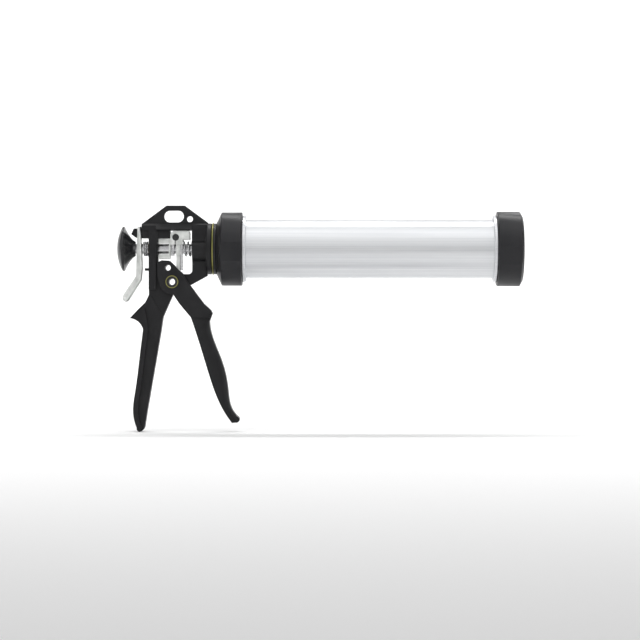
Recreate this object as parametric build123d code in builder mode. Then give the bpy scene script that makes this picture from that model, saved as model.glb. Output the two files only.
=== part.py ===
from build123d import *
from math import cos, radians, sqrt
import os

# Closed-barrel caulking gun for cartridges and foil packs, in millimetres.
# X runs along the barrel towards the nozzle, Z is up, Y is across.
# The origin is the centre of the nozzle hole, on the front cap's outer face.

# ---- Driving dimensions -------------------------------------------------
# Clearances
FACE_GAP = 0.1          # flat faces that stay still against each other
TURN_GAP = 0.2          # flat faces that turn or slide on each other
RUN_FIT = 0.05          # round pin in a round hole, radial
SLIDE_FIT = 0.13        # hexagon rod in a round bush, radial at its corners
LOOSE_FIT = 0.4         # pieces that pass each other

# Barrel and caps
TUBE_LENGTH = 264.4
TUBE_OD = 53.0
TUBE_WALL = 1.4
CAP_LENGTH = 23.3
COLLAR_THICK = 3.2
COLLAR_HEIGHT = 3.6
CAP_WALL = 7.3          # round the tube
CAP_END = 4.0           # across the end
CAP_FLAT_ANGLE = 29.0   # how wide each of the four flats is
CAP_LIP_CHAMFER = 0.8
GROOVE_DEPTH = 0.5
GROOVE_PITCH = 5.0
GROOVES = 3
NOZZLE_BORE = 28.0
SEAT_THICK = 2.5
GASKET_THICK = 1.5
GASKET_WIDTH = 2.2

# Frame casting
SPIGOT_D = 40.0
NECK_D = 46.6
NECK_THICK = 5.5
WASHER_THICK = 1.2
THRUST_THICK = 2.4
DISC_THICK = 2.5
FRONT_WALL = 12.8
WINDOW_LENGTH = 31.0
REAR_WALL = 8.4
WINDOW_TOP = 16.9
WINDOW_BOTTOM = -23.0
BEAM_THICK = 5.9
BEAM_HALF = 12.0
HANGER_HALF = 3.5
HANGER_HEIGHT = 16.6
WALL_HALF = 9.0
WEB_HALF = 5.0
SLOT_LENGTH = 18.0
SLOT_HEIGHT = 10.8
HOOK_HOLE_D = 5.6
BOSS_D = 25.2
HANDLE_LENGTH = 118.0
PALM_HALF = 10.0
PALM_BAND = 4.6
GRIP_HALF = 6.5
FINGER_ROUND = 2.6

# Rod, knob and piston
ROD_AF = 8.0
ROD_STROKE = 236.0
ROD_STUD_D = 6.0
KNOB_D = 40.6
KNOB_LENGTH = 16.8
KNOB_NECK_D = 13.4
KNOB_PIN_D = 2.5
PISTON_THICK = 6.0
BUSH_WALL = 2.2

# Trigger
PIVOT_DROP = 30.1
PIVOT_SETBACK = 18.2
PIVOT_D = 8.0
PIVOT_HOLE_D = 5.8
TRIGGER_LENGTH = 128.0
CHEEK = 3.5
FINGER_BAND = 4.0
DRIVE_PIN_D = 6.8
DRIVE_HOLE_D = 5.2
ROLLER_D = 10.4

# Carriage, springs and release lever
CARRIAGE_HALF = 9.3
CARRIAGE_WALL = 2.0
PLATE_HALF = 6.8
KEEPER_D = 6.2
PLATE_THICK = 2.1
RETURN_WIRE = 1.5
BRAKE_WIRE = 1.3
LEVER_SHEET = 1.6
LEVER_HALF = 7.0

# ---- Places worked out from them ----------------------------------------
tube_r = TUBE_OD / 2
tube_in = tube_r - TUBE_WALL
cap_in = tube_r + 0.3
cap_r = cap_in + CAP_WALL
rod_r = ROD_AF / sqrt(3)
bush_in = rod_r + SLIDE_FIT
bush_r = bush_in + BUSH_WALL

x_seat = -CAP_END - FACE_GAP
x_gasket = x_seat - SEAT_THICK - FACE_GAP
x_tube = x_gasket - GASKET_THICK - FACE_GAP
x_tube_end = x_tube - TUBE_LENGTH
x_cap_wall = x_tube_end - GASKET_THICK
x_cap_back = x_cap_wall - CAP_END
x_thrust = x_cap_back - TURN_GAP
x_washer = x_thrust - THRUST_THICK - FACE_GAP
x_neck = x_washer - WASHER_THICK - FACE_GAP
x_disc_back = x_cap_wall + TURN_GAP
x_disc = x_disc_back + DISC_THICK
x_wall = x_neck - NECK_THICK
x_front = x_wall - FRONT_WALL
x_back = x_front - WINDOW_LENGTH
x_rear = x_back - REAR_WALL
z_beam = WINDOW_TOP + BEAM_THICK
x_pivot = x_front - PIVOT_SETBACK
z_pivot = -PIVOT_DROP
x_drive = x_pivot - 3.7
z_drive = z_pivot + 12.8
cheek_in = WEB_HALF + LOOSE_FIT
cheek_out = cheek_in + CHEEK
x_tail = x_rear - 6.4
x_lever = x_tail - 0.8
arm_in = rod_r + 0.3
arm_out = arm_in + 4.2
z_step = arm_out + 0.5


def ring(x_from, x_to, outer, inner):
    """Adds a ring about the X axis to the piece being built."""
    with BuildSketch(Plane.YZ.offset(min(x_from, x_to))) as face:
        Circle(outer)
        Circle(inner, mode=Mode.SUBTRACT)
    extrude(face.sketch, amount=abs(x_to - x_from))


def bore(x_from, x_to, radius):
    """Cuts a round hole about the X axis."""
    with BuildSketch(Plane.YZ.offset(min(x_from, x_to))) as face:
        Circle(radius)
    extrude(face.sketch, amount=abs(x_to - x_from), mode=Mode.SUBTRACT)


def block(x_from, x_to, z_from, z_to, half, mode=Mode.ADD):
    """A box from -half to +half across."""
    with BuildSketch(Plane.XZ) as face:
        with Locations(((x_from + x_to) / 2, (z_from + z_to) / 2)):
            Rectangle(abs(x_to - x_from), abs(z_to - z_from))
    extrude(face.sketch, amount=half, both=True, mode=mode)


def plate(points, half, mode=Mode.ADD):
    """A flat plate in the XZ plane from -half to +half across."""
    with BuildSketch(Plane.XZ) as face:
        with BuildLine():
            Polyline(*points, close=True)
        make_face()
    extrude(face.sketch, amount=half, both=True, mode=mode)


def disc_y(x, z, radius, half, mode=Mode.ADD):
    """A round boss, pin or hole that runs across."""
    with BuildSketch(Plane.XZ) as face:
        with Locations((x, z)):
            Circle(radius)
    extrude(face.sketch, amount=half, both=True, mode=mode)


def save(piece, label):
    """Labels a finished piece and writes it."""
    piece.part.label = label
    export_step(piece.part, f"parts/{label}.step")


os.makedirs("parts", exist_ok=True)

# ---- Frame casting ------------------------------------------------------
# Hanger, beam, two window walls, trigger lug, thumb spur and handle.
# The handle is drawn from the foot of the wall down its own length.
z_grip = z_pivot - 18.4


def down(share):
    """Height at a share of the handle's length."""
    return z_grip - share * HANDLE_LENGTH


spur = (x_rear - 17.4, z_pivot - 33.1)
throat = (x_rear - 5.0, down(0.21))
palm = [
    throat,
    (x_rear - 7.6, down(0.385)),
    (x_rear - 11.7, down(0.664)),
    (x_rear - 14.0, down(0.85)),
    (x_rear - 10.8, down(0.966)),
]
tip = (x_rear - 7.8, down(1.0))
fingers = [
    (x_rear - 3.6, down(0.95)),
    (x_rear + 3.4, down(0.602)),
    (x_rear + 9.3, down(0.315)),
    (x_rear + 13.0, down(0.115)),
]
crotch = (x_pivot - 0.3, z_pivot - 13.9)

with BuildPart() as frame:
    # Upper beam with long chamfers, and the tail block behind it
    block(x_tail, x_wall + 1.0, WINDOW_TOP, z_beam, WALL_HALF)
    block(x_back - 1.8, x_wall, WINDOW_TOP, z_beam, BEAM_HALF)
    beam_edges = frame.edges().filter_by(Axis.X).group_by(Axis.Z)[-1]
    beam_sides = [e for e in beam_edges if abs(e.center().Y) > WALL_HALF + 1]
    chamfer(beam_sides, length=BEAM_THICK - 1.1, length2=BEAM_HALF - HANGER_HALF - 3.5)
    # Hanger with the long slot and the small hook hole
    plate(
        [
            (x_tail, z_beam),
            (x_front - 23.5, z_beam + HANGER_HEIGHT),
            (x_front - 6.8, z_beam + HANGER_HEIGHT),
            (x_wall + 1.6, z_beam + 1.0),
            (x_wall + 1.6, WINDOW_TOP),
            (x_tail, WINDOW_TOP),
        ],
        HANGER_HALF,
    )
    with BuildSketch(Plane.XZ):
        with Locations((x_front - 16.7, z_beam + 6.7)):
            SlotOverall(SLOT_LENGTH, SLOT_HEIGHT)
        with Locations((x_front - 2.2, z_beam + 4.3)):
            Circle(HOOK_HOLE_D / 2)
    extrude(amount=BEAM_HALF + 1, both=True, mode=Mode.SUBTRACT)
    # Rear wall with its wide rib, and the tail block
    block(x_rear, x_rear + 6.6, z_pivot - 7, z_beam - 2, WALL_HALF)
    block(x_rear, x_back, -7.4, z_beam - 2, WALL_HALF - 1.5)
    block(x_rear, x_back, z_pivot - 17, z_beam - 2, WEB_HALF)
    block(x_tail, x_rear + 1, 9.6, z_beam - 1, WALL_HALF - 2)
    disc_y(x_rear + 6.6, 10.0, 6.8, WALL_HALF)
    block(x_back, x_back + 12, WINDOW_BOTTOM + 14, WINDOW_TOP, BEAM_HALF + 1, Mode.SUBTRACT)
    # Window top behind the step is lower
    block(x_back - 1, x_back + 11.0, z_step, WINDOW_TOP + 1, WALL_HALF - 1.5)
    # Front wall, round boss and neck flange
    block(x_front, x_wall + 1, 6.4, z_beam - 1, BEAM_HALF)
    block(x_front, x_wall + 1, WINDOW_BOTTOM - 2, 10, WEB_HALF)
    ring(x_front, x_wall + 1, BOSS_D / 2, 1.0)
    with BuildSketch(Plane.XZ):
        with BuildLine():
            Polyline(
                (x_neck, 0),
                (x_neck, NECK_D / 2 - 0.8),
                (x_neck - 0.8, NECK_D / 2),
                (x_wall + 1.4, NECK_D / 2),
                (x_wall, NECK_D / 2 - 1.4),
                (x_wall, 0),
                close=True,
            )
        make_face()
    revolve(axis=Axis.X)
    ring(x_neck - 1, x_disc_back, SPIGOT_D / 2, 1.0)
    # Web under the window, gusset and trigger lug
    plate(
        [
            (x_rear, WINDOW_BOTTOM),
            (x_wall + 1.0, WINDOW_BOTTOM),
            (x_wall + 1.0, WINDOW_BOTTOM - 1.6),
            (x_front - 0.6, z_pivot - 2.4),
            (x_pivot + 2, z_pivot - 8),
            crotch,
            (x_rear + 13.0, down(0.115)),
            (x_rear, down(0.05)),
        ],
        WEB_HALF,
    )
    disc_y(x_pivot, z_pivot, 11.0, WEB_HALF)
    block(x_back, x_front, WINDOW_BOTTOM, WINDOW_BOTTOM + 12, BEAM_HALF + 1, Mode.SUBTRACT)
    # Round lower corner of the window
    block(x_front - 3.5, x_front, WINDOW_BOTTOM, WINDOW_BOTTOM + 3.5, WEB_HALF)
    disc_y(x_front - 3.5, WINDOW_BOTTOM + 3.5, 3.5, WEB_HALF + 1, Mode.SUBTRACT)
    # Handle web
    with BuildSketch(Plane.XZ):
        with BuildLine():
            Polyline(
                (x_rear + 3.0, z_pivot - 14.5),
                (x_rear, z_pivot - 12),
                (x_rear - 3.2, z_pivot - 18.6),
                (x_rear - 9.4, z_pivot - 24.6),
                spur,
            )
            ThreePointArc(spur, (x_rear - 8.0, z_pivot - 37.6), throat)
            Spline(*palm)
            ThreePointArc(palm[-1], (x_rear - 9.8, down(0.992)), tip)
            ThreePointArc(tip, (x_rear - 5.6, down(0.988)), fingers[0])
            Spline(*fingers)
            Line(fingers[-1], (x_rear + 3.0, z_pivot - 14.5))
        make_face()
    extrude(amount=GRIP_HALF, both=True)
    # Broad palm flange along the rear edge
    with BuildSketch(Plane.XZ):
        with BuildLine():
            inner = [(x + PALM_BAND, z) for x, z in palm]
            Polyline((x_rear - 4.0, z_pivot - 24.0), spur)
            ThreePointArc(spur, (x_rear - 8.0, z_pivot - 37.6), throat)
            Spline(*palm)
            ThreePointArc(palm[-1], (x_rear - 9.8, down(0.992)), tip)
            Line(tip, inner[-1])
            Spline(*inner)
            ThreePointArc(inner[0], (x_rear - 1.8, z_pivot - 33.0), (x_rear - 4.0, z_pivot - 24.0))
        make_face()
    extrude(amount=PALM_HALF, both=True)
    # Stop nub for the release lever
    block(x_rear - 3.8, x_rear + 1, -19.9, -17.6, WEB_HALF)
    # Tongue and hook that hold the release lever
    block(x_tail - 4.2, x_tail + 1, 13.0, 18.6, 2.5)
    plate(
        [
            (x_tail - 3.3, 18.6),
            (x_tail - 3.3, 9.8),
            (x_tail - 6.0, 10.4),
            (x_tail - 10.0, 13.4),
            (x_tail - 7.6, 18.6),
        ],
        2.5,
    )
    # Bores along the rod
    bore(x_rear - 1, x_back + 1, bush_in + 0.6)
    bore(x_rear - 1, x_rear + 5.6, bush_r)
    bore(x_front + 7.5, x_disc + 1, bush_r)
    bore(x_front - 1, x_front + 7.5, rod_r + 2.6)
    # Pocket for the carriage's nose
    block(
        x_front - 1, x_front + 5.1, 7.6, WINDOW_TOP, CARRIAGE_HALF + LOOSE_FIT, Mode.SUBTRACT
    )
    # Pivot hole and disc screw holes
    disc_y(x_pivot, z_pivot, PIVOT_D / 2, WEB_HALF + 5, Mode.SUBTRACT)
    with BuildSketch(Plane.YZ.offset(x_disc_back - 8)):
        with PolarLocations(SPIGOT_D * 0.3, 3):
            Circle(1.6)
    extrude(amount=9, mode=Mode.SUBTRACT)
save(frame, "frame_casting")

# ---- Trigger ------------------------------------------------------------
# A forked head over the frame's web, and a long grip with a finger flange.


def drop(share):
    """Height at a share of the trigger's length."""
    return z_pivot - share * TRIGGER_LENGTH


front_edge = [
    (x_pivot + 34.2, drop(0.278)),
    (x_pivot + 35.1, drop(0.342)),
    (x_pivot + 44.2, drop(0.541)),
    (x_pivot + 50.8, drop(0.754)),
    (x_pivot + 53.4, drop(0.881)),
    (x_pivot + 60.1, drop(0.959)),
]
end_low = (x_pivot + 58.5, drop(1.0))
inner_edge = [
    (x_pivot + 54.4, drop(1.003)),
    (x_pivot + 43.3, drop(0.864)),
    (x_pivot + 31.4, drop(0.605)),
    (x_pivot + 20.9, drop(0.342)),
    (x_pivot + 16.9, drop(0.251)),
]

with BuildPart() as finger_flange:
    with BuildSketch(Plane.XZ):
        with BuildLine():
            inner = [(x - FINGER_BAND, z) for x, z in front_edge]
            Spline(*front_edge)
            ThreePointArc(front_edge[-1], (x_pivot + 61.2, drop(0.984)), end_low)
            Line(end_low, inner[-1])
            Spline(*inner)
            Line(inner[0], front_edge[0])
        make_face()
    extrude(amount=PALM_HALF, both=True)
    # Broad round where the fingers pull
    pull_x, pull_z = front_edge[2]
    pull = [Vector(pull_x, side, pull_z) for side in (-PALM_HALF, PALM_HALF)]
    fillet(
        [e for e in finger_flange.edges() if min(e.distance_to(p) for p in pull) < 0.05],
        FINGER_ROUND,
    )

with BuildPart() as trigger:
    # Grip web over the whole outline
    with BuildSketch(Plane.XZ):
        with BuildLine():
            Polyline(
                (x_pivot + 6.8, z_pivot - 20.1),
                (x_pivot + 15.9, z_pivot - 2.7),
                (x_pivot + 28.7, z_pivot - 19.6),
                (x_pivot + 35.1, z_pivot - 25.5),
                (x_pivot + 36.7, z_pivot - 28.5),
                front_edge[0],
            )
            Spline(*front_edge)
            ThreePointArc(front_edge[-1], (x_pivot + 61.2, drop(0.984)), end_low)
            Line(end_low, inner_edge[0])
            Spline(*inner_edge)
            Line(inner_edge[-1], (x_pivot + 6.8, z_pivot - 20.1))
        make_face()
    extrude(amount=GRIP_HALF, both=True)
    # Wide head
    with BuildSketch(Plane.XZ):
        with BuildLine():
            Polyline(
                (x_pivot - 11.0, z_pivot - 3.0),
                (x_pivot - 13.3, z_pivot + 5.0),
                (x_pivot - 13.3, z_pivot + 17.6),
                (x_pivot - 9.5, z_pivot + 19.6),
                (x_pivot - 2.3, z_pivot + 19.2),
                (x_pivot + 9.5, z_pivot + 7.8),
                (x_pivot + 15.9, z_pivot - 2.7),
                (x_pivot + 28.7, z_pivot - 19.6),
                (x_pivot + 35.1, z_pivot - 25.5),
                (x_pivot + 36.7, z_pivot - 28.5),
                (x_pivot + 33.4, z_pivot - 33.0),
                (x_pivot + 16.9, z_pivot - 32.1),
                (x_pivot + 6.8, z_pivot - 20.1),
                (x_pivot + 1.0, z_pivot - 11.4),
            )
            ThreePointArc(
                (x_pivot + 1.0, z_pivot - 11.4),
                (x_pivot - 7.0, z_pivot - 9.0),
                (x_pivot - 11.0, z_pivot - 3.0),
            )
        make_face()
    extrude(amount=cheek_out, both=True)
    # Finger flange along the front edge
    add(finger_flange.part)
    # Slot between the cheeks
    disc_y(x_pivot, z_pivot, 22.0, cheek_in, Mode.SUBTRACT)
    block(x_pivot - 24, x_pivot + 24, z_pivot, z_pivot + 24, cheek_in, Mode.SUBTRACT)
    # Holes for the pivot rivet and the drive pin
    disc_y(x_pivot, z_pivot, PIVOT_D / 2 + RUN_FIT, cheek_out + 1, Mode.SUBTRACT)
    disc_y(x_drive, z_drive, DRIVE_PIN_D / 2, cheek_out + 1, Mode.SUBTRACT)
save(trigger, "trigger")

# ---- Pivot rivet, its washers, drive pin and roller ---------------------
washer_in = cheek_out + TURN_GAP
washer_out = washer_in + 0.8
rivet_half = washer_out + 1.2

with BuildPart() as pivot_rivet:
    disc_y(x_pivot, z_pivot, PIVOT_D / 2, rivet_half)
    disc_y(x_pivot, z_pivot, PIVOT_D / 2 + 1, rivet_half)
    with BuildSketch(Plane.XZ):
        with Locations((x_pivot, z_pivot)):
            Circle(PIVOT_D / 2 + 2)
            Circle(PIVOT_D / 2, mode=Mode.SUBTRACT)
    extrude(amount=washer_out, both=True, mode=Mode.SUBTRACT)
    disc_y(x_pivot, z_pivot, PIVOT_HOLE_D / 2, rivet_half + 1, Mode.SUBTRACT)
save(pivot_rivet, "pivot_rivet")

with BuildPart() as pivot_washers:
    disc_y(x_pivot, z_pivot, PIVOT_D / 2 + 1.8, washer_out)
    disc_y(x_pivot, z_pivot, PIVOT_D / 2 + 3, washer_in, Mode.SUBTRACT)
    disc_y(x_pivot, z_pivot, PIVOT_D / 2, washer_out + 1, Mode.SUBTRACT)
save(pivot_washers, "pivot_washers")

with BuildPart() as drive_pin:
    disc_y(x_drive, z_drive, DRIVE_PIN_D / 2, cheek_out + 0.6)
    disc_y(x_drive, z_drive, DRIVE_HOLE_D / 2, cheek_out + 2, Mode.SUBTRACT)
save(drive_pin, "drive_pin")

with BuildPart() as drive_roller:
    disc_y(x_drive, z_drive, ROLLER_D / 2, cheek_in - LOOSE_FIT)
    disc_y(x_drive, z_drive, DRIVE_PIN_D / 2, cheek_in, Mode.SUBTRACT)
save(drive_roller, "drive_roller")

# ---- Carriage and gripping plates ---------------------------------------
# The roller pushes the middle plate's foot, the plates tilt and grip the rod,
# and the carriage carries them forward against the return spring.
x_foot = x_drive + ROLLER_D / 2 + TURN_GAP
x_cross = x_front - 21.0
x_nose = x_cross + 1.3
nose_top = WINDOW_TOP - 0.6
nose_low = 8.2
plate_top = nose_low - 1.6
plate_hole = rod_r + 0.35
keeper = (x_front - 14.8, nose_top - 6.0)

with BuildPart() as carriage:
    # Two rear arms, above and below the rod
    block(x_back + 0.3, x_cross + 1, arm_in, arm_out, WEB_HALF)
    block(x_back + 0.3, x_cross + 1, -arm_out, -arm_in, WEB_HALF)
    # Cross wall
    block(x_cross, x_cross + 1.4, -arm_out, arm_out, WEB_HALF)
    block(x_cross, x_cross + 1.6, -arm_in, arm_out, CARRIAGE_HALF)
    # Nose block that slides into the front wall's pocket, and its two cheeks
    block(x_nose, x_front - 2.1, nose_low, nose_top, CARRIAGE_HALF)
    block(x_nose, x_front - 8.4, 3.6, nose_top - 1, CARRIAGE_HALF)
    block(
        x_nose + 0.4,
        x_front - 8,
        0,
        nose_low,
        CARRIAGE_HALF - CARRIAGE_WALL,
        Mode.SUBTRACT,
    )
    nose_corner = carriage.edges().filter_by(Axis.Y).group_by(Axis.Z)[-1]
    fillet(nose_corner.sort_by(Axis.X)[0], radius=4.5)
    fillet(carriage.edges().filter_by(Axis.Y).group_by(Axis.Z)[-1].sort_by(Axis.X)[-1], radius=1.2)
    # Slots under the keeper pin
    block(keeper[0] - 0.9, keeper[0], 3.0, keeper[1], CARRIAGE_HALF + 1, Mode.SUBTRACT)
    # Grooves along the arms' near faces
    for side in (1, -1):
        with BuildSketch(Plane.XZ.offset(side * WEB_HALF)):
            with Locations((x_back + 5.0, 7.0), (x_back + 5.0, -7.0)):
                Rectangle(9.0, 0.7)
        extrude(amount=0.4, both=True, mode=Mode.SUBTRACT)
    bore(x_cross - 1, x_cross + 3, plate_hole)
    disc_y(*keeper, KEEPER_D / 2, CARRIAGE_HALF + 1, Mode.SUBTRACT)
save(carriage, "carriage")

with BuildPart() as keeper_pin:
    disc_y(*keeper, KEEPER_D / 2, CARRIAGE_HALF + 0.3)
save(keeper_pin, "keeper_pin")


def gripping_plate(x_plate, thick, foot_z):
    """Hexagon hole plate, wide above the rod and a narrow tongue below."""
    block(x_plate, x_plate + thick, -6.4, plate_top, PLATE_HALF)
    block(x_plate, x_plate + thick, foot_z, 0, WEB_HALF - 0.5)
    bore(x_plate - 1, x_plate + thick + 1, plate_hole)


with BuildPart() as plate_rear:
    gripping_plate(x_cross + 1.9, PLATE_THICK + 0.6, -6.4)
save(plate_rear, "gripping_plate_rear")

with BuildPart() as plate_middle:
    gripping_plate(x_foot + 2.0, PLATE_THICK + 1.5, z_drive - 3.7)
    block(x_foot, x_foot + 2.5, z_drive - 3.7, z_drive + 1.1, WEB_HALF - 0.5)
save(plate_middle, "gripping_plate_middle")

with BuildPart() as plate_front:
    gripping_plate(x_foot + PLATE_THICK + 3.7, PLATE_THICK, z_drive - 2.2)
save(plate_front, "gripping_plate_front")

# ---- Springs round the rod ----------------------------------------------
x_spring = x_foot + 2 * PLATE_THICK + 4.0
spring_end = x_front + 7.5
spring_r = rod_r + 1.0 + RETURN_WIRE / 2


def coil(x_from, x_to, wire, radius, turns):
    """A round wire spring about the X axis."""
    length = abs(x_to - x_from) - wire
    start = Vector(min(x_from, x_to) + wire / 2, 0, 0)
    path = Helix(length / turns, length, radius, center=start, direction=(1, 0, 0))
    with BuildPart() as spring:
        with BuildLine():
            add(path)
        with BuildSketch(Plane(origin=path @ 0, z_dir=path % 0)):
            Circle(wire / 2)
        sweep(path=path, is_frenet=True)
    return spring


return_spring = coil(x_spring, spring_end, RETURN_WIRE, spring_r, 4.0)
save(return_spring, "return_spring")

brake_spring = coil(x_lever + 1.8, x_rear - 0.1, BRAKE_WIRE, bush_r - BRAKE_WIRE / 2, 2.5)
save(brake_spring, "brake_spring")

# ---- Release lever ------------------------------------------------------
# A pressed channel: the sheet faces the frame and two flanges point back.
lever_front = [
    (x_lever + 0.1, 20.2),
    (x_lever + 0.3, 6.0),
    (x_lever + 1.2, -8.0),
    (x_lever + 1.4, -18.0),
    (x_lever + 0.4, -28.5),
    (x_lever - 11.2, -47.0),
]
lever_back = [
    (x_lever - 14.2, -48.6),
    (x_lever - 16.6, -46.6),
    (x_lever - 16.4, -42.4),
    (x_lever - 4.6, -25.0),
    (x_lever - 4.3, -18.0),
    (x_lever - 3.8, 0.0),
    (x_lever - 3.1, 20.2),
]

with BuildPart() as release_lever:
    plate(lever_front + lever_back, LEVER_HALF)
    # Large bends where the flanges leave the sheet
    bends = [
        edge
        for edge in release_lever.edges()
        if abs(edge.center().Y) > LEVER_HALF - 0.1
        and any(
            (edge.center() - Vector((a[0] + b[0]) / 2, edge.center().Y, (a[1] + b[1]) / 2)).length
            < 0.01
            for a, b in zip(lever_front, lever_front[1:])
        )
    ]
    fillet(bends, radius=2.0)
    inside = [(x - LEVER_SHEET, z) for x, z in lever_front[:-1]]
    inside = [(inside[0][0], 30.0)] + inside
    inside += [(x_lever - 14.6, -49.5), (x_lever - 30, -51), (x_lever - 30, 30)]
    plate(inside, LEVER_HALF - LEVER_SHEET, Mode.SUBTRACT)
    block(x_lever - 8, x_lever + 3, 11.8, 19.4, 3.0, Mode.SUBTRACT)
    bore(x_lever - 8, x_lever + 3, rod_r + 0.6)
    disc_y(x_lever - 14.9, -44.6, 0.9, LEVER_HALF + 1, Mode.SUBTRACT)
save(release_lever, "release_lever")

# ---- Plunger rod, knob and piston ---------------------------------------
x_neck_end = x_lever - 5.2
x_apex = x_neck_end - KNOB_LENGTH
knob_r = KNOB_D / 2
x_piston = x_cap_wall + ROD_STROKE + 8.2
x_rod_tip = x_piston + 15.0



def knob_pin_bar(half, mode=Mode.ADD):
    """The upright cross pin through the knob's neck and the rod, or its hole."""
    with BuildSketch(Plane.XY) as face:
        with Locations((x_neck_end - 4.0, 0)):
            Circle(KNOB_PIN_D / 2)
    extrude(face.sketch, amount=half, both=True, mode=mode)


with BuildPart() as plunger_rod:
    with BuildSketch(Plane.YZ.offset(x_apex + 7.0)):
        RegularPolygon(rod_r, 6, rotation=30)
    extrude(amount=x_piston - x_apex - 7.0)
    ring(x_piston, x_rod_tip, ROD_STUD_D / 2, 0.3)
    knob_pin_bar(rod_r + 1, Mode.SUBTRACT)
save(plunger_rod, "plunger_rod")

with BuildPart() as pull_knob:
    with BuildSketch(Plane.XZ):
        with BuildLine():
            apex = (x_apex, 0)
            rim = (x_apex + 5.0, knob_r - 0.3)
            ThreePointArc(apex, (x_apex + 1.4, knob_r * 0.56), rim)
            rim_back = (x_apex + 7.4, knob_r - 1.3)
            ThreePointArc(rim, (x_apex + 6.5, knob_r), rim_back)
            Spline(
                rim_back,
                (x_apex + 8.9, knob_r - 4.3),
                (x_apex + 11.2, knob_r - 8.0),
                (x_apex + 13.9, knob_r - 11.5),
                (x_neck_end, KNOB_NECK_D / 2),
            )
            Polyline((x_neck_end, KNOB_NECK_D / 2), (x_neck_end, 0), apex)
        make_face()
    revolve(axis=Axis.X)
    with BuildSketch(Plane.YZ.offset(x_apex + 7.0)):
        RegularPolygon(rod_r, 6, rotation=30)
    extrude(amount=KNOB_LENGTH, mode=Mode.SUBTRACT)
    knob_pin_bar(knob_r, Mode.SUBTRACT)
save(pull_knob, "pull_knob")

with BuildPart() as knob_pin:
    knob_pin_bar(KNOB_NECK_D / 2 + 1.0)
save(knob_pin, "knob_pin")

piston_r = tube_in - LOOSE_FIT
stud_r = ROD_STUD_D / 2
x_plate_front = x_piston + 1.5 + PISTON_THICK

with BuildPart() as piston_back:
    ring(x_piston, x_piston + 1.5, piston_r * 0.8, stud_r)
save(piston_back, "piston_back_washer")

with BuildPart() as piston:
    with BuildSketch(Plane.XZ):
        with BuildLine():
            Polyline(
                (x_piston + 1.5, stud_r),
                (x_piston + 1.5, piston_r * 0.8),
                (x_piston - 0.5, piston_r * 0.92),
                (x_piston - 0.5, piston_r),
                (x_plate_front - 2.0, piston_r),
                (x_plate_front, piston_r - 2.0),
                (x_plate_front, stud_r),
                close=True,
            )
        make_face()
    revolve(axis=Axis.X)
save(piston, "piston_disc")

with BuildPart() as piston_front:
    ring(x_plate_front, x_plate_front + 1.2, stud_r + 6, stud_r)
save(piston_front, "piston_front_washer")

with BuildPart() as piston_nut:
    with BuildSketch(Plane.YZ.offset(x_plate_front + 1.2)):
        RegularPolygon(stud_r * 1.9, 6)
        Circle(stud_r, mode=Mode.SUBTRACT)
    extrude(amount=5.0)
save(piston_nut, "piston_nut")

# ---- Bushes, washers, disc and screws in the frame -----------------------
with BuildPart() as rear_bush:
    ring(x_rear, x_rear + 5.6, bush_r, bush_in)
save(rear_bush, "rear_bush")

with BuildPart() as front_bush:
    ring(x_front + 7.5, x_disc_back, bush_r, bush_in)
save(front_bush, "front_bush")

with BuildPart() as swivel_washer:
    ring(x_washer, x_washer - WASHER_THICK, NECK_D / 2 + 0.3, SPIGOT_D / 2)
save(swivel_washer, "swivel_washer")

with BuildPart() as thrust_ring:
    ring(x_thrust, x_thrust - THRUST_THICK, NECK_D / 2 - 0.1, SPIGOT_D / 2)
save(thrust_ring, "thrust_ring")

screw_circle = SPIGOT_D * 0.3

with BuildPart() as retaining_disc:
    ring(x_disc_back, x_disc, tube_in - 1.1, bush_in)
    with BuildSketch(Plane.YZ.offset(x_disc_back)):
        with PolarLocations(screw_circle, 3):
            Circle(1.6)
    extrude(amount=DISC_THICK, mode=Mode.SUBTRACT)
save(retaining_disc, "retaining_disc")

with BuildPart() as retaining_screws:
    with BuildSketch(Plane.YZ.offset(x_disc_back - 7)):
        with PolarLocations(screw_circle, 3):
            Circle(1.6)
    extrude(amount=DISC_THICK + 7)
    with BuildSketch(Plane.YZ.offset(x_disc)):
        with PolarLocations(screw_circle, 3):
            Circle(3.0)
    extrude(amount=1.8)
    with BuildSketch(Plane.YZ.offset(x_disc + 0.9)):
        with PolarLocations(screw_circle, 3):
            RegularPolygon(1.2, 6)
    extrude(amount=1.0, mode=Mode.SUBTRACT)
save(retaining_screws, "retaining_screws")

# ---- Barrel, caps, gaskets and nozzle seat -------------------------------
with BuildPart() as barrel_tube:
    ring(x_tube_end, x_tube, tube_r, tube_in)
    for groove in range(GROOVES):
        step = 2.0 + groove * GROOVE_PITCH
        for x_groove in (x_tube - step - 1.2, x_tube_end + step):
            ring_cut = tube_r - GROOVE_DEPTH
            with BuildSketch(Plane.YZ.offset(x_groove)):
                Circle(tube_r + 1)
                Circle(ring_cut, mode=Mode.SUBTRACT)
            extrude(amount=1.2, mode=Mode.SUBTRACT)
save(barrel_tube, "barrel_tube")


def cap_body(profile, first_flat):
    """A turned cap with four flats, the first centred at an angle from -Y."""
    with BuildSketch(Plane.XZ) as face:
        with BuildLine():
            Polyline(*profile, close=True)
        make_face()
    revolve(face.sketch, axis=Axis.X)
    flat = cap_r * cos(radians(CAP_FLAT_ANGLE / 2))
    x_low = min(x for x, radius in profile)
    with BuildSketch(Plane.YZ.offset(x_low)) as corners:
        Circle(cap_r + 1)
        Rectangle(2 * flat, 2 * flat, rotation=-first_flat, mode=Mode.SUBTRACT)
    extrude(corners.sketch, amount=CAP_LENGTH, mode=Mode.SUBTRACT)


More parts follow.
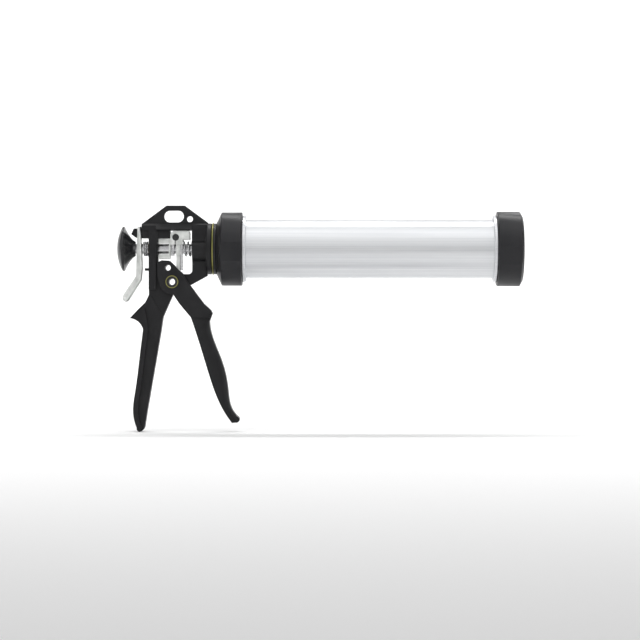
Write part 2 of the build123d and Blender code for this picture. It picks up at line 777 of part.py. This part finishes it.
with BuildPart() as rear_cap:
    x_lip = x_cap_back + CAP_LENGTH
    cap_body(
        [
            (x_cap_back, SPIGOT_D / 2 + 0.3),
            (x_cap_back, cap_r - 10.4),
            (x_cap_back + 4.5, cap_r - 0.8),
            (x_cap_back + 5.3, cap_r),
            (x_lip - CAP_LIP_CHAMFER, cap_r),
            (x_lip, cap_r - CAP_LIP_CHAMFER),
            (x_lip, cap_in),
            (x_cap_wall, cap_in),
            (x_cap_wall, SPIGOT_D / 2 + 0.3),
        ],
        -5.5,
    )
save(rear_cap, "rear_cap")

with BuildPart() as rear_gasket:
    ring(x_cap_wall, x_tube_end, tube_r + 0.1, tube_r + 0.1 - GASKET_WIDTH)
save(rear_gasket, "rear_gasket")

# Collars that the caps screw up to, one at each end of the tube
x_collar_rear = x_cap_back + CAP_LENGTH + TURN_GAP
x_collar_front = -CAP_LENGTH - TURN_GAP
for x_from, x_to, label in (
    (x_collar_rear, x_collar_rear + COLLAR_THICK, "tube_collar_rear"),
    (x_collar_front, x_collar_front - COLLAR_THICK, "tube_collar_front"),
):
    with BuildPart() as collar:
        ring(x_from, x_to, tube_r + COLLAR_HEIGHT, tube_r)
    save(collar, label)

with BuildPart() as front_cap:
    x_lip = -CAP_LENGTH
    cap_body(
        [
            (0, NOZZLE_BORE / 2),
            (0, cap_r - 4.5),
            (-2.5, cap_r),
            (x_lip + CAP_LIP_CHAMFER, cap_r),
            (x_lip, cap_r - CAP_LIP_CHAMFER),
            (x_lip, cap_in),
            (-CAP_END, cap_in),
            (-CAP_END, NOZZLE_BORE / 2),
        ],
        -11.2,
    )
save(front_cap, "front_cap")

with BuildPart() as nozzle_seat:
    ring(x_seat, x_seat - SEAT_THICK, tube_r - 0.1, NOZZLE_BORE / 2 + 1)
save(nozzle_seat, "nozzle_seat")

with BuildPart() as front_gasket:
    ring(x_gasket, x_gasket - GASKET_THICK, tube_r - 0.1, tube_r - 0.1 - GASKET_WIDTH)
save(front_gasket, "front_gasket")
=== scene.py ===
from math import pi, radians

import bmesh
import bpy
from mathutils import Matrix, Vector


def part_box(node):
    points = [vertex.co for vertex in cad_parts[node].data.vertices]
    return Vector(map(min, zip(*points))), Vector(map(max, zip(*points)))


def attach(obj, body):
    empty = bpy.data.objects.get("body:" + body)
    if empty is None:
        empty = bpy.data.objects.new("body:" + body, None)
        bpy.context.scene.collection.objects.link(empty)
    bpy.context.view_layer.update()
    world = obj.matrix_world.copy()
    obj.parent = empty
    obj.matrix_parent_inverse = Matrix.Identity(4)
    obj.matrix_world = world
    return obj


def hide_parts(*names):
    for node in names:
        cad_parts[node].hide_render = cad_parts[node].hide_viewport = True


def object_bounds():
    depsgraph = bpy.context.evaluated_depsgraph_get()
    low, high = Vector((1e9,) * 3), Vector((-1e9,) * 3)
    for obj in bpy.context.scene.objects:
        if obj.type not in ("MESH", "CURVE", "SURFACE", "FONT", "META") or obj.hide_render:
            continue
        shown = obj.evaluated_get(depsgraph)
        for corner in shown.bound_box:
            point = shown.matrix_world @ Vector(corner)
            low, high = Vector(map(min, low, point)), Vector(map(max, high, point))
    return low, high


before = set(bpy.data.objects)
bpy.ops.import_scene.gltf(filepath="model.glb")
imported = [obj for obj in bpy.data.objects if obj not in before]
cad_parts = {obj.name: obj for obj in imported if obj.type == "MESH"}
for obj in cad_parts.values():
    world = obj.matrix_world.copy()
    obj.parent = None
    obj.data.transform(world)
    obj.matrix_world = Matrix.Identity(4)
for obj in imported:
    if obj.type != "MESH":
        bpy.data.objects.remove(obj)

cad_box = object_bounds()

# ---- Die-cast frame and trigger ----
# Two aluminium die castings with rounded edges, powder coated black with a slight grain.
# The frame holds every bore; the trigger is forked and straddles the frame's web.

SAME_CORNER = 2e-6
SAME_FACE = 0.5
FRAME_ROUND = 0.0012
TRIGGER_ROUND = 0.0010


def merged_mesh(node, name):
    """A node's own shape with its triangles joined into whole faces."""
    mesh = bpy.data.meshes.new(name)
    bm = bmesh.new()
    bm.from_mesh(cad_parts[node].data)
    bmesh.ops.remove_doubles(bm, verts=bm.verts, dist=SAME_CORNER)
    bmesh.ops.dissolve_limit(bm, angle_limit=radians(SAME_FACE), verts=bm.verts, edges=bm.edges)
    bm.to_mesh(mesh)
    bm.free()
    return mesh


def fit(piece, node, body, finish):
    """Gives a piece its finish and its body, and hides the node that it stands for."""
    bpy.context.scene.collection.objects.link(piece)
    piece.data.materials.clear()
    piece.data.materials.append(finish)
    for face in piece.data.polygons:
        face.use_smooth = True
    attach(piece, body)
    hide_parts(node)


def rounded(node, body, finish, width=0.0003, segments=2, angle=25):
    """A cast, pressed or machined piece with its edges rounded."""
    piece = bpy.data.objects.new(node + "_made", merged_mesh(node, node + "_made"))
    fit(piece, node, body, finish)
    edges = piece.modifiers.new("Rounded edges", "BEVEL")
    edges.width = width
    edges.segments = segments
    edges.limit_method = "ANGLE"
    edges.angle_limit = radians(angle)
    edges.use_clamp_overlap = True
    edges.harden_normals = True


def shader(name, color, metallic, roughness):
    """A new finish, its node tree and its surface shader."""
    finish = bpy.data.materials.new(name)
    finish.use_nodes = True
    surface = finish.node_tree.nodes["Principled BSDF"]
    surface.inputs["Base Color"].default_value = (*color, 1)
    surface.inputs["Metallic"].default_value = metallic
    surface.inputs["Roughness"].default_value = roughness
    return finish, finish.node_tree, surface


def noise(tree, scale, detail=2.0, stretch=(1, 1, 1)):
    """The value of a noise on object coordinates."""
    coords = tree.nodes.new("ShaderNodeTexCoord")
    mapping = tree.nodes.new("ShaderNodeMapping")
    mapping.inputs["Scale"].default_value = stretch
    texture = tree.nodes.new("ShaderNodeTexNoise")
    texture.inputs["Scale"].default_value = scale
    texture.inputs["Detail"].default_value = detail
    tree.links.new(coords.outputs["Object"], mapping.inputs["Vector"])
    tree.links.new(mapping.outputs["Vector"], texture.inputs["Vector"])
    return texture.outputs["Fac"]


def spread(tree, value, first, last):
    """Maps the middle of a noise's range to first..last."""
    node = tree.nodes.new("ShaderNodeMapRange")
    node.inputs["From Min"].default_value = 0.3
    node.inputs["From Max"].default_value = 0.7
    node.inputs["To Min"].default_value = first
    node.inputs["To Max"].default_value = last
    tree.links.new(value, node.inputs["Value"])
    return node.outputs["Result"]


def two_tone(tree, factor, first, last):
    """A colour between two by a factor, or from a colour already made."""
    node = tree.nodes.new("ShaderNodeMix")
    node.data_type = "RGBA"
    colors = [socket for socket in node.inputs if socket.type == "RGBA"]
    for socket, color in zip(colors, (first, last)):
        if isinstance(color, tuple):
            socket.default_value = (*color, 1)
        else:
            tree.links.new(color, socket)
    tree.links.new(factor, node.inputs[0])
    return [socket for socket in node.outputs if socket.type == "RGBA"][0]


def relief(tree, surface, height, strength, distance):
    """Raises the surface by a height; distance is in metres."""
    node = tree.nodes.new("ShaderNodeBump")
    node.inputs["Strength"].default_value = strength
    node.inputs["Distance"].default_value = distance
    tree.links.new(height, node.inputs["Height"])
    tree.links.new(node.outputs["Normal"], surface.inputs["Normal"])


def powder_coat():
    """Black powder coat: fine orange peel, mottling and duller patches."""
    finish, tree, surface = shader("Black powder coat", (0.02, 0.02, 0.022), 0.0, 0.42)
    surface.inputs["Specular IOR Level"].default_value = 0.3
    grain = noise(tree, 1400.0, 3.0)
    patches = noise(tree, 70.0, 5.0)
    tone = two_tone(
        tree, spread(tree, patches, 0, 1), (0.003, 0.003, 0.004), (0.009, 0.009, 0.010)
    )
    tree.links.new(tone, surface.inputs["Base Color"])
    tree.links.new(spread(tree, patches, 0.36, 0.5), surface.inputs["Roughness"])
    relief(tree, surface, grain, 0.35, 0.00012)
    return finish


coat = powder_coat()
rounded("frame_casting", "frame", coat, FRAME_ROUND, 4)
rounded("trigger", "trigger", coat, TRIGGER_ROUND, 3)

# ---- Barrel tube and its collars ----
# A drawn aluminium tube, clear anodised to a satin finish with faint draw lines along it.
# A turned collar is pressed on near each end, and the screw caps stop against it.


def turned(name, profile, steps=128):
    """A closed profile of (x, radius) points spun about the X axis."""
    bm = bmesh.new()
    corners = [bm.verts.new((x, 0, radius)) for x, radius in profile]
    edges = [bm.edges.new(pair) for pair in zip(corners, corners[1:] + corners[:1])]
    bmesh.ops.spin(
        bm,
        geom=corners + edges,
        cent=(0, 0, 0),
        axis=(1, 0, 0),
        angle=2 * pi,
        steps=steps,
        use_merge=True,
    )
    bmesh.ops.remove_doubles(bm, verts=bm.verts, dist=1e-7)
    bmesh.ops.recalc_face_normals(bm, faces=bm.faces)
    mesh = bpy.data.meshes.new(name)
    bm.to_mesh(mesh)
    bm.free()
    return bpy.data.objects.new(name, mesh)


def soften(piece, width, segments=3, angle=25):
    """Rounds a turned piece's edges."""
    edges = piece.modifiers.new("Rounded edges", "BEVEL")
    edges.width = width
    edges.segments = segments
    edges.limit_method = "ANGLE"
    edges.angle_limit = radians(angle)
    normals = piece.modifiers.new("Flat faces stay flat", "WEIGHTED_NORMAL")
    normals.keep_sharp = True


def anodised():
    """Clear anodised aluminium: satin, with draw lines along the tube."""
    finish, tree, surface = shader("Clear anodised", (0.65, 0.66, 0.68), 1.0, 0.4)
    lines = noise(tree, 900.0, 2.0, (0.004, 1, 1))
    haze = noise(tree, 18.0, 3.0)
    tone = two_tone(tree, spread(tree, lines, 0, 1), (0.60, 0.61, 0.63), (0.69, 0.70, 0.71))
    tree.links.new(tone, surface.inputs["Base Color"])
    tree.links.new(spread(tree, haze, 0.36, 0.44), surface.inputs["Roughness"])
    relief(tree, surface, lines, 0.25, 0.00004)
    return finish


satin = anodised()
tube_low, tube_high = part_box("barrel_tube")
tube_r = tube_high.z
TUBE_WALL = 0.0014
EDGE_BREAK = 0.0003
THREAD_TURNS = 3
THREAD_PITCH = 0.005
THREAD_DEPTH = 0.0005
THREAD_WIDTH = 0.0012
THREAD_SLOPE = 0.0003
THREAD_START = 0.002
TUBE_STEPS = 160
thread_starts = [
    tube_low.x + THREAD_START + turn * THREAD_PITCH for turn in range(THREAD_TURNS)
]
thread_starts += [
    tube_high.x - THREAD_START - THREAD_WIDTH - turn * THREAD_PITCH
    for turn in range(THREAD_TURNS)
]
outside = [(tube_low.x, tube_r - EDGE_BREAK), (tube_low.x + EDGE_BREAK, tube_r)]
for start in sorted(thread_starts):
    outside += [
        (start, tube_r),
        (start + THREAD_SLOPE, tube_r - THREAD_DEPTH),
        (start + THREAD_WIDTH - THREAD_SLOPE, tube_r - THREAD_DEPTH),
        (start + THREAD_WIDTH, tube_r),
    ]
outside += [(tube_high.x - EDGE_BREAK, tube_r), (tube_high.x, tube_r - EDGE_BREAK)]
inside = [
    (tube_high.x, tube_r - TUBE_WALL + EDGE_BREAK),
    (tube_high.x - EDGE_BREAK, tube_r - TUBE_WALL),
    (tube_low.x + EDGE_BREAK, tube_r - TUBE_WALL),
    (tube_low.x, tube_r - TUBE_WALL + EDGE_BREAK),
]
tube = turned("barrel_tube_made", outside + inside, TUBE_STEPS)
fit(tube, "barrel_tube", "barrel", satin)
soften(tube, 0.00012, 2, 30)
for node in ("tube_collar_rear", "tube_collar_front"):
    low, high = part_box(node)
    collar = turned(
        node + "_made", [(low.x, tube_r), (low.x, high.z), (high.x, high.z), (high.x, tube_r)]
    )
    fit(collar, node, "barrel", satin)
    soften(collar, 0.0007)

# ---- Screw caps ----
# Glass-filled nylon mouldings, black and satin, with four flats for a wrench or a grip.
# The rear one's end is a shallow cone; the front one has the nozzle hole.


def black_nylon(name, tone_low, tone_high, rough_low, rough_high):
    """Black moulded nylon with a fine spark texture."""
    finish, tree, surface = shader(name, tone_low, 0.0, rough_low)
    surface.inputs["Specular IOR Level"].default_value = 0.35
    spark = noise(tree, 900.0, 4.0)
    flow = noise(tree, 40.0, 3.0, (1, 0.4, 0.4))
    tone = two_tone(tree, spread(tree, flow, 0, 1), tone_low, tone_high)
    tree.links.new(tone, surface.inputs["Base Color"])
    tree.links.new(spread(tree, flow, rough_low, rough_high), surface.inputs["Roughness"])
    relief(tree, surface, spark, 0.25, 0.00008)
    return finish


nylon = black_nylon("Black nylon", (0.004, 0.004, 0.006), (0.010, 0.010, 0.012), 0.34, 0.44)
rounded("rear_cap", "barrel", nylon, 0.0006, 3, 9)
rounded("front_cap", "front_cap", nylon, 0.0006, 3, 9)
rounded("thrust_ring", "frame", nylon, 0.0004)

# ---- Pull knob ----
# A glossy moulded button on the rod's end, flared so that two fingers can pull it back.
# It is held to the rod by a cross pin.

gloss = black_nylon("Polished nylon", (0.010, 0.010, 0.011), (0.014, 0.014, 0.016), 0.2, 0.28)
rounded("pull_knob", "rod", gloss, 0.0005, 3, 40)

# ---- Zinc-plated steel ----
# The pressed release lever, the carriage and its middle plate, zinc plated after forming.
# The retaining disc, the nozzle seat and the piston's washers and nut are plated alike.


def zinc(name, dark, light, rough):
    """Bright zinc plating: pale metal with a faint cloudy spangle and small pits."""
    finish, tree, surface = shader(name, light, 1.0, rough)
    cloud = noise(tree, 170.0, 5.0)
    pits = noise(tree, 1500.0, 2.0)
    tone = two_tone(tree, spread(tree, cloud, 0, 1), dark, light)
    tree.links.new(tone, surface.inputs["Base Color"])
    tree.links.new(spread(tree, cloud, rough - 0.08, rough + 0.1), surface.inputs["Roughness"])
    relief(tree, surface, pits, 0.3, 0.00006)
    return finish


plating = zinc("Bright zinc", (0.56, 0.58, 0.56), (0.78, 0.79, 0.77), 0.36)
rounded("release_lever", "lever", plating, 0.0003)
rounded("carriage", "carriage", plating, 0.0005, 3)
rounded("gripping_plate_middle", "carriage", plating)
rounded("retaining_disc", "frame", plating)
rounded("nozzle_seat", "nozzle_end", plating)
for node in ("piston_back_washer", "piston_front_washer", "piston_nut"):
    rounded(node, "rod", plating)

# ---- Bright drawn steel ----
# The hexagon rod is drawn bar, left bright, with fine lines along it.
# The two hardened gripping plates and the drive roller have the same bare finish.


def drawn_steel():
    """Bright drawn bar: lines along its length, a slight grey cast."""
    finish, tree, surface = shader("Bright drawn steel", (0.6, 0.6, 0.61), 1.0, 0.26)
    lines = noise(tree, 1600.0, 2.0, (0.02, 1, 1))
    tone = two_tone(tree, spread(tree, lines, 0, 1), (0.5, 0.5, 0.51), (0.68, 0.68, 0.69))
    tree.links.new(tone, surface.inputs["Base Color"])
    tree.links.new(spread(tree, lines, 0.2, 0.32), surface.inputs["Roughness"])
    relief(tree, surface, lines, 0.2, 0.00003)
    return finish


bright = drawn_steel()
rounded("plunger_rod", "rod", bright, 0.0003)
rounded("drive_roller", "trigger", bright)
for node in ("gripping_plate_rear", "gripping_plate_front"):
    rounded(node, "carriage", bright)

# ---- Springs ----
# Music wire, coiled cold round the rod.
# A strong one returns the carriage, and a light one holds the release lever back.


def spring_wire():
    """Drawn spring wire, slightly darker than the plated pieces."""
    finish, tree, surface = shader("Spring wire", (0.45, 0.45, 0.46), 1.0, 0.3)
    cloud = noise(tree, 300.0, 3.0)
    tone = two_tone(tree, cloud, (0.38, 0.38, 0.39), (0.58, 0.58, 0.59))
    tree.links.new(tone, surface.inputs["Base Color"])
    tree.links.new(spread(tree, cloud, 0.22, 0.36), surface.inputs["Roughness"])
    return finish


wire = spring_wire()
for node in ("return_spring", "brake_spring"):
    rounded(node, "frame", wire, 0.0001, 1, 60)

# ---- Pins, rivet and screws ----
# The hollow pivot rivet and drive pin, the keeper pin, the knob pin and the disc's screws.
# All are turned steel, blacked in oil.


def oil_black():
    """Oil-blacked steel: a dark metal sheen with a cloudy drift of tone and gloss."""
    finish, tree, surface = shader("Oil-blacked steel", (0.03, 0.03, 0.03), 0.8, 0.35)
    cloud = noise(tree, 220.0, 4.0)
    tone = two_tone(tree, cloud, (0.02, 0.02, 0.02), (0.06, 0.06, 0.06))
    tree.links.new(tone, surface.inputs["Base Color"])
    tree.links.new(spread(tree, cloud, 0.28, 0.42), surface.inputs["Roughness"])
    return finish


blacked = oil_black()
rounded("pivot_rivet", "frame", blacked, 0.0005, 3)
rounded("drive_pin", "trigger", blacked, 0.0003)
rounded("keeper_pin", "carriage", blacked, 0.0004)
rounded("knob_pin", "rod", blacked)
rounded("retaining_screws", "frame", blacked)

# ---- Yellow-passivated washers ----
# Thin steel washers under the rivet's heads and behind the barrel.
# They are plated and then dipped in an olive-yellow chromate.


def yellow_chromate():
    """Olive-yellow chromate on steel, with a faint drift between green and gold."""
    finish, tree, surface = shader("Yellow chromate", (0.42, 0.4, 0.14), 0.75, 0.4)
    drift = noise(tree, 60.0, 3.0)
    tone = two_tone(tree, spread(tree, drift, 0, 1), (0.17, 0.17, 0.055), (0.29, 0.27, 0.09))
    tree.links.new(tone, surface.inputs["Base Color"])
    tree.links.new(spread(tree, drift, 0.34, 0.48), surface.inputs["Roughness"])
    return finish


chromate = yellow_chromate()
rounded("swivel_washer", "frame", chromate, 0.0002)
rounded("pivot_washers", "frame", chromate, 0.0002)

# ---- Piston, bushes and gaskets ----
# A turned white nylon piston between its two washers.
# Two oil-filled bronze bushes guide the rod, and a rubber ring seals each cap.


def plain(name, dark, light, metallic, rough, scale, stretch=(1, 1, 1)):
    """A quiet finish with a slow drift of colour and gloss."""
    finish, tree, surface = shader(name, light, metallic, rough)
    drift = noise(tree, scale, 4.0, stretch)
    tone = two_tone(tree, spread(tree, drift, 0, 1), dark, light)
    tree.links.new(tone, surface.inputs["Base Color"])
    tree.links.new(spread(tree, drift, rough - 0.05, rough + 0.08), surface.inputs["Roughness"])
    relief(tree, surface, drift, 0.15, 0.00005)
    return finish


milky = plain("White nylon", (0.72, 0.72, 0.69), (0.82, 0.82, 0.79), 0.0, 0.45, 300.0)
rounded("piston_disc", "rod", milky, 0.0004)
bronze = plain("Sintered bronze", (0.36, 0.25, 0.11), (0.5, 0.36, 0.17), 1.0, 0.42, 1200.0)
for node in ("rear_bush", "front_bush"):
    rounded(node, "frame", bronze)
black_rubber = plain("Rubber", (0.018, 0.018, 0.018), (0.03, 0.03, 0.03), 0.0, 0.75, 500.0)
rounded("rear_gasket", "barrel", black_rubber)
rounded("front_gasket", "nozzle_end", black_rubber)

# ---- Floor, light and camera ----
# A pale seamless paper floor that curves up behind the object.
# Large soft lamps stand round it, and a long lens looks at its side.

FLOOR_HALF = 3.2
WALL_HEIGHT = 1.9
CURVE_RADIUS = 1.4
middle = Vector((-0.18, 0.0, 0.0))
floor_z = cad_box[0].z
bm = bmesh.new()
bmesh.ops.create_grid(bm, x_segments=1, y_segments=1, size=FLOOR_HALF)
bmesh.ops.translate(bm, verts=bm.verts, vec=(middle.x, 0, floor_z))
far = [edge for edge in bm.edges if all(v.co.y > FLOOR_HALF - 0.1 for v in edge.verts)]
wall = bmesh.ops.extrude_edge_only(bm, edges=far)["geom"]
wall_corners = [part for part in wall if isinstance(part, bmesh.types.BMVert)]
bmesh.ops.translate(bm, verts=wall_corners, vec=(0, 0, WALL_HEIGHT))
bmesh.ops.bevel(
    bm,
    geom=far,
    offset=CURVE_RADIUS,
    segments=24,
    profile=0.5,
    affect="EDGES",
    material=-1,
)
bmesh.ops.recalc_face_normals(bm, faces=bm.faces)
floor_mesh = bpy.data.meshes.new("Floor")
bm.to_mesh(floor_mesh)
bm.free()
for face in floor_mesh.polygons:
    face.use_smooth = True
floor = bpy.data.objects.new("Floor", floor_mesh)
bpy.context.scene.collection.objects.link(floor)
paper, tree, surface = shader("White paper", (0.86, 0.86, 0.86), 0.0, 0.9)
surface.inputs["Specular IOR Level"].default_value = 0.0
floor_mesh.materials.append(paper)

world = bpy.data.worlds.new("Studio")
world.use_nodes = True
background = world.node_tree.nodes["Background"]
background.inputs["Color"].default_value = (1, 1, 1, 1)
background.inputs["Strength"].default_value = 0.22
bpy.context.scene.world = world
bpy.context.scene.view_settings.view_transform = "Standard"


def lamp(name, place, aim, width, height, power):
    """A soft rectangular lamp aimed at a point."""
    light = bpy.data.lights.new(name, "AREA")
    light.shape = "RECTANGLE"
    light.size = width
    light.size_y = height
    light.energy = power
    stand = bpy.data.objects.new(name, light)
    stand.location = place
    stand.rotation_euler = (Vector(aim) - Vector(place)).to_track_quat("-Z", "Y").to_euler()
    bpy.context.scene.collection.objects.link(stand)


lamp("Top softbox", (-0.18, -0.5, 1.15), middle, 2.6, 1.0, 11)
lamp("Front fill", (-0.18, -2.5, 1.2), (-0.18, 0.0, 0.9), 3.0, 2.1, 17)
lamp("Left strip", (-1.7, -0.9, 0.3), middle, 0.4, 1.4, 9)
lamp("Right strip", (1.3, -0.9, 0.3), middle, 0.4, 1.4, 9)
lamp("Backdrop lamp", (-0.18, 1.1, 2.4), (-0.18, 2.9, 0.2), 4.0, 0.8, 100)
lamp("Floor lamp", (-0.18, 1.1, 1.6), (-0.18, 1.5, floor_z), 3.0, 0.5, 9)

lens = bpy.data.cameras.new("Camera")
lens.lens = 129.5
lens.sensor_width = 36.0
camera = bpy.data.objects.new("Camera", lens)
camera.location = (-0.1842, -2.1, -0.0648)
camera.rotation_euler = (radians(90), 0, 0)
bpy.context.scene.collection.objects.link(camera)
bpy.context.scene.camera = camera
